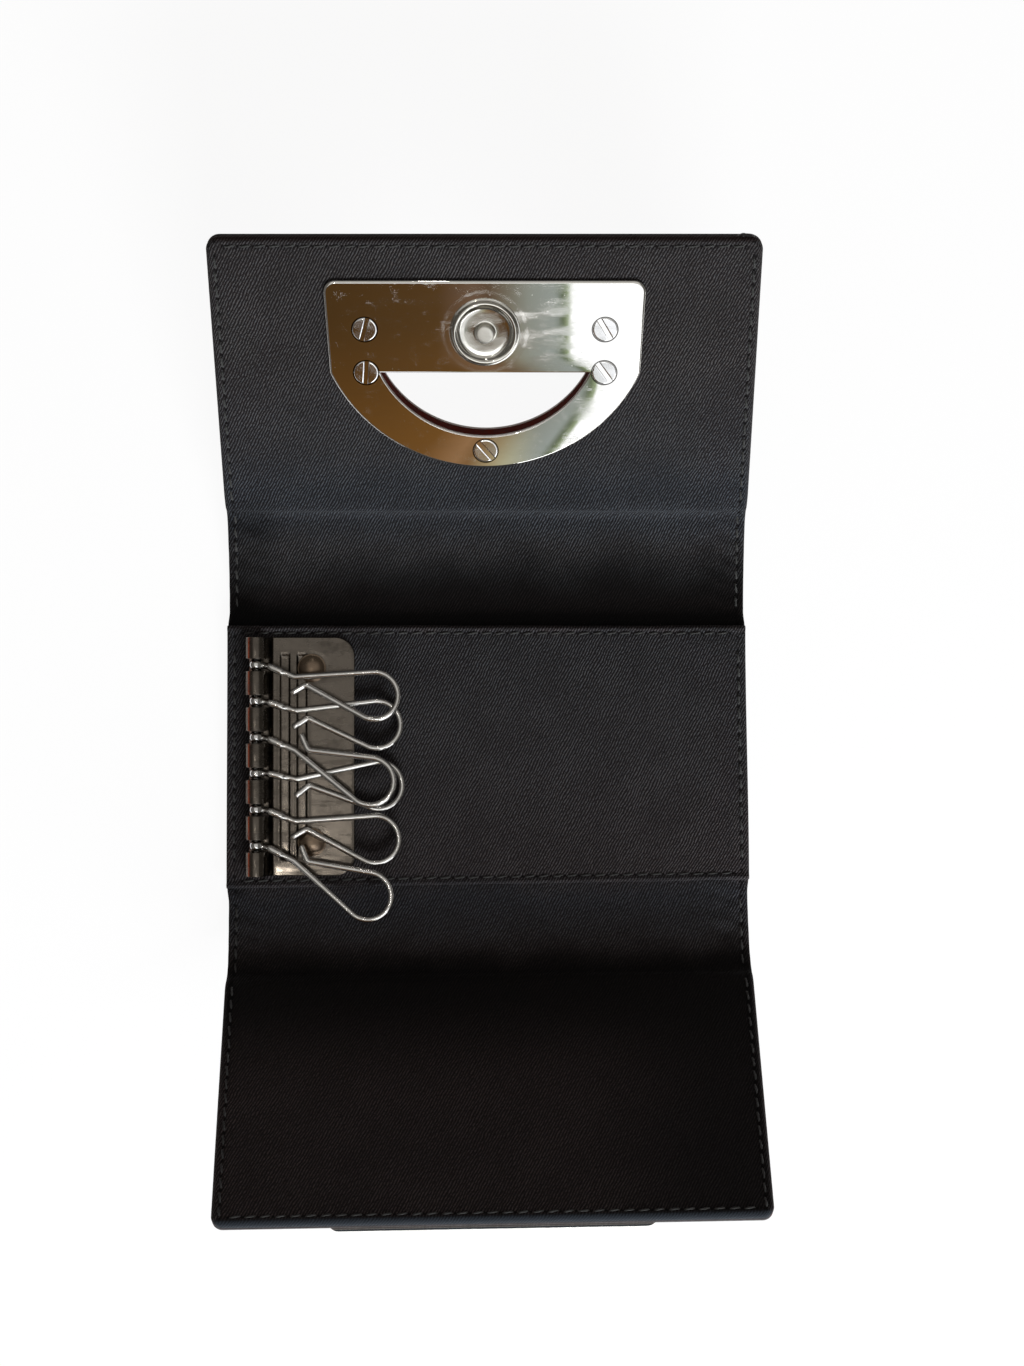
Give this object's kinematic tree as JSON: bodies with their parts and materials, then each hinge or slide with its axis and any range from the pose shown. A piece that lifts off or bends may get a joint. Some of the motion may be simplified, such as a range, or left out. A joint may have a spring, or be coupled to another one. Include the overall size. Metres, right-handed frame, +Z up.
{
  "type": "key case",
  "caption": "Open folding key case with a cloth lining, a rail of wire key hooks, a half-moon metal plate with a window in its flap, and a snap that holds it shut.",
  "frame": {"origin": "on the underside of the middle panel, at its centre", "axes": "+X across the case to the side away from the hook rail, +Y towards the flap, +Z up out of the open inside"},
  "size_m": [0.1076, 0.1936, 0.0355],
  "materials": {
    "leather": "smooth black leather with a light grain",
    "lining": "black twill, matt",
    "thread": "greyish thread",
    "board": "plain greyboard",
    "plate": "mirror polished, fine scratches",
    "screw": "polished",
    "snap": "polished, scuffed",
    "rail": "antique pewter, satin",
    "hook": "bright nickel"
  },
  "bodies": {
    "base": {"middle_cover": "leather", "middle_lining": "lining", "middle_board": "board", "middle_panel": "lining", "panel_stitching": "thread", "hook_rail": "rail", "rail_rivets": "rail", "rivet_washers": "rail"},
    "upper_spine": {"upper_spine_cover": "leather", "upper_spine_lining": "lining", "upper_spine_stitching": "thread"},
    "flap": {"flap_cover": "leather", "flap_board": "board", "flap_lining": "lining", "flap_stitching": "thread", "flap_plate": "plate", "flap_frame": "plate", "flap_screws": "screw", "snap_stud": "snap"},
    "lower_spine": {"lower_spine_cover": "leather", "lower_spine_lining": "lining", "lower_spine_stitching": "thread"},
    "front_panel": {"front_cover": "leather", "front_board": "board", "front_lining": "lining", "front_stitching": "thread", "catch_plate": "plate", "snap_socket": "snap", "snap_spring": "snap"},
    "hook_1": {"hook_1_ball": "hook", "hook_1_wire": "hook"},
    "hook_2": {"hook_2_ball": "hook", "hook_2_wire": "hook"},
    "hook_3": {"hook_3_ball": "hook", "hook_3_wire": "hook"},
    "hook_4": {"hook_4_ball": "hook", "hook_4_wire": "hook"},
    "hook_5": {"hook_5_ball": "hook", "hook_5_wire": "hook"},
    "hook_6_swivel": {"hook_6_ball": "hook"},
    "hook_6": {"hook_6_wire": "hook"}
  },
  "joints": [
    {"name": "upper_spine_fold", "type": "hinge", "parent": "base", "child": "upper_spine", "pos_m": [0, 0.0274, 0.0015], "axis": [-1, 0, 0], "range_deg": [-82, 8]},
    {"name": "flap_fold", "type": "hinge", "parent": "upper_spine", "child": "flap", "pos_m": [0, 0.05117, 0.00484], "axis": [-1, 0, 0], "range_deg": [-68.5, 21.5]},
    {"name": "lower_spine_fold", "type": "hinge", "parent": "base", "child": "lower_spine", "pos_m": [0, -0.0274, 0.0015], "axis": [1, 0, 0], "range_deg": [-78, 12]},
    {"name": "front_fold", "type": "hinge", "parent": "lower_spine", "child": "front_panel", "pos_m": [0, -0.04501, 0.00524], "axis": [1, 0, 0], "range_deg": [-69, 21]},
    {"name": "hook_6_swing", "type": "hinge", "parent": "base", "child": "hook_6_swivel", "pos_m": [-0.0477, -0.01875, 0.0053], "axis": [0, -0.309, 0.9511], "range_deg": [-4, 23]},
    {"name": "hook_1_lift", "type": "hinge", "parent": "base", "child": "hook_1", "pos_m": [-0.0477, 0.01875, 0.0053], "axis": [0, -1, 0], "range_deg": [0, 150]},
    {"name": "hook_2_lift", "type": "hinge", "parent": "base", "child": "hook_2", "pos_m": [-0.0477, 0.01125, 0.0053], "axis": [0, -1, 0], "range_deg": [0, 150]},
    {"name": "hook_3_lift", "type": "hinge", "parent": "base", "child": "hook_3", "pos_m": [-0.0477, 0.00375, 0.0053], "axis": [0, -1, 0], "range_deg": [0, 150]},
    {"name": "hook_4_lift", "type": "hinge", "parent": "base", "child": "hook_4", "pos_m": [-0.0477, -0.00375, 0.0053], "axis": [0, -1, 0], "range_deg": [0, 150]},
    {"name": "hook_5_lift", "type": "hinge", "parent": "base", "child": "hook_5", "pos_m": [-0.0477, -0.01125, 0.0053], "axis": [0, -1, 0], "range_deg": [0, 150]},
    {"name": "hook_6_lift", "type": "hinge", "parent": "hook_6_swivel", "child": "hook_6", "pos_m": [-0.0477, -0.01875, 0.0053], "axis": [0, -1, 0], "range_deg": [0, 150]}
  ],
  "couplings": [
    {"joint": "hook_2_lift", "follows": "hook_1_lift", "ratio": 1},
    {"joint": "hook_4_lift", "follows": "hook_3_lift", "ratio": 1},
    {"joint": "hook_6_swing", "follows": "lower_spine_fold", "ratio": -0.28}
  ]
}
